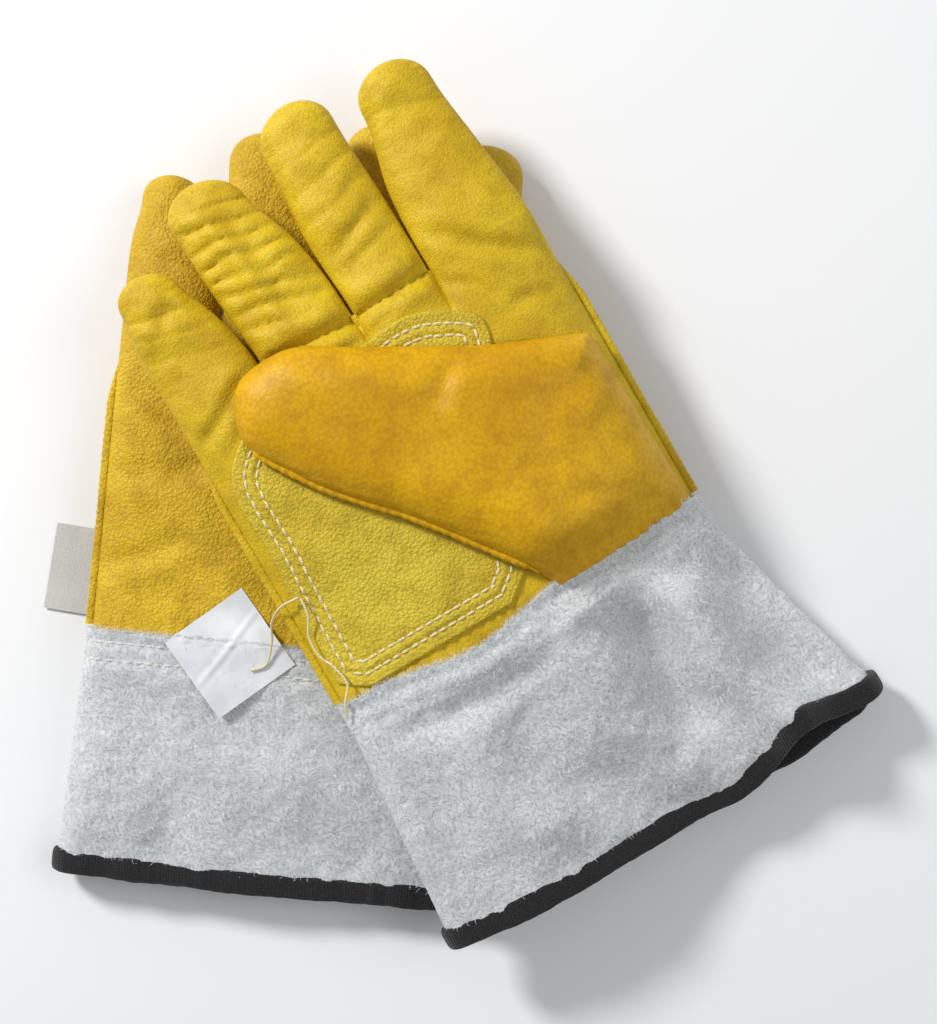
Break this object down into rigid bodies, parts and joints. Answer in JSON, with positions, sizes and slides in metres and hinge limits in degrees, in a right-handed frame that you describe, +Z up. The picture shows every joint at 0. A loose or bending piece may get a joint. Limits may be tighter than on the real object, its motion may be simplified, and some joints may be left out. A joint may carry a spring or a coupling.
{
  "type": "beekeeping gloves",
  "caption": "Pair of short-cuff leather work gloves lying crossed, with grain-leather hands, palm patches, wing thumbs and split-leather cuffs bound in tape.",
  "frame": {"origin": "centre of the pair's overall box, on the table under the lower glove", "axes": "+Z up from the table, +Y towards the fingertips, +X towards the upper glove's cuff corner"},
  "size_m": [0.287, 0.2949, 0.0558],
  "materials": {
    "right_leather": "smooth yellow grain leather",
    "left_leather": "pebbled golden grain leather",
    "patch_leather": "pebbled dull yellow leather",
    "grey_suede": "napped grey split leather",
    "black_tape": "woven binding tape",
    "thread": "cream sewing thread",
    "sticker_paper": "blank matt paper",
    "label_cloth": "blank woven label cloth"
  },
  "bodies": {
    "left_glove": {"left_cuff_back": "grey_suede", "left_cuff_binding": "black_tape", "left_cuff_palm": "grey_suede", "left_cuff_stitching": "thread", "left_hand_back": "left_leather", "left_hand_palm": "left_leather", "left_index_back": "left_leather", "left_index_front": "left_leather", "left_little_back": "left_leather", "left_little_front": "left_leather", "left_middle_back": "left_leather", "left_middle_front": "left_leather", "left_palm_patch": "patch_leather", "left_patch_stitching": "thread", "left_ring_back": "left_leather", "left_ring_front": "left_leather", "left_side_welts": "left_leather", "left_thumb_back": "left_leather", "left_thumb_front": "left_leather", "left_thumb_root_back": "left_leather", "left_thumb_root_front": "left_leather", "left_thumb_welt": "left_leather", "fabric_label": "label_cloth", "size_sticker": "sticker_paper"},
    "right_thumb": {"right_thumb_front": "right_leather", "right_thumb_back": "right_leather", "right_thumb_welt": "right_leather"},
    "right_index": {"right_index_front": "right_leather", "right_index_back": "right_leather"},
    "right_middle": {"right_middle_front": "right_leather", "right_middle_back": "right_leather"},
    "right_ring": {"right_ring_front": "right_leather", "right_ring_back": "right_leather"},
    "right_little": {"right_little_front": "right_leather", "right_little_back": "right_leather"},
    "right_glove": {"right_cuff_back": "grey_suede", "right_cuff_binding": "black_tape", "right_cuff_palm": "grey_suede", "right_cuff_stitching": "thread", "right_hand_back": "right_leather", "right_hand_palm": "right_leather", "right_palm_patch": "patch_leather", "right_patch_stitching": "thread", "right_side_welts": "right_leather", "right_thumb_root_back": "right_leather", "right_thumb_root_front": "right_leather", "thread_tail_long": "thread", "thread_tail_short": "thread"}
  },
  "joints": [
    {"name": "right_glove_lift", "type": "slide", "parent": "left_glove", "child": "right_glove", "axis": [0, 0, 1], "range_m": [0, 0.08]},
    {"name": "right_index_flex", "type": "hinge", "parent": "right_glove", "child": "right_index", "pos_m": [0.00859, 0.0876, 0.04112], "axis": [0.8616, 0.5075, 0], "range_deg": [0, 75]},
    {"name": "right_middle_flex", "type": "hinge", "parent": "right_glove", "child": "right_middle", "pos_m": [-0.02096, 0.07019, 0.0418], "axis": [0.8616, 0.5075, 0], "range_deg": [0, 75]},
    {"name": "right_ring_flex", "type": "hinge", "parent": "right_glove", "child": "right_ring", "pos_m": [-0.04862, 0.0539, 0.0418], "axis": [0.8616, 0.5075, 0], "range_deg": [0, 75]},
    {"name": "right_little_flex", "type": "hinge", "parent": "right_glove", "child": "right_little", "pos_m": [-0.07826, 0.03644, 0.0418], "axis": [0.8616, 0.5075, 0], "range_deg": [0, 75]},
    {"name": "right_thumb_fold", "type": "hinge", "parent": "right_glove", "child": "right_thumb", "pos_m": [0.0317, 0.01881, 0.05298], "axis": [0.1701, 0.9835, -0.0617], "range_deg": [0, 110]}
  ]
}
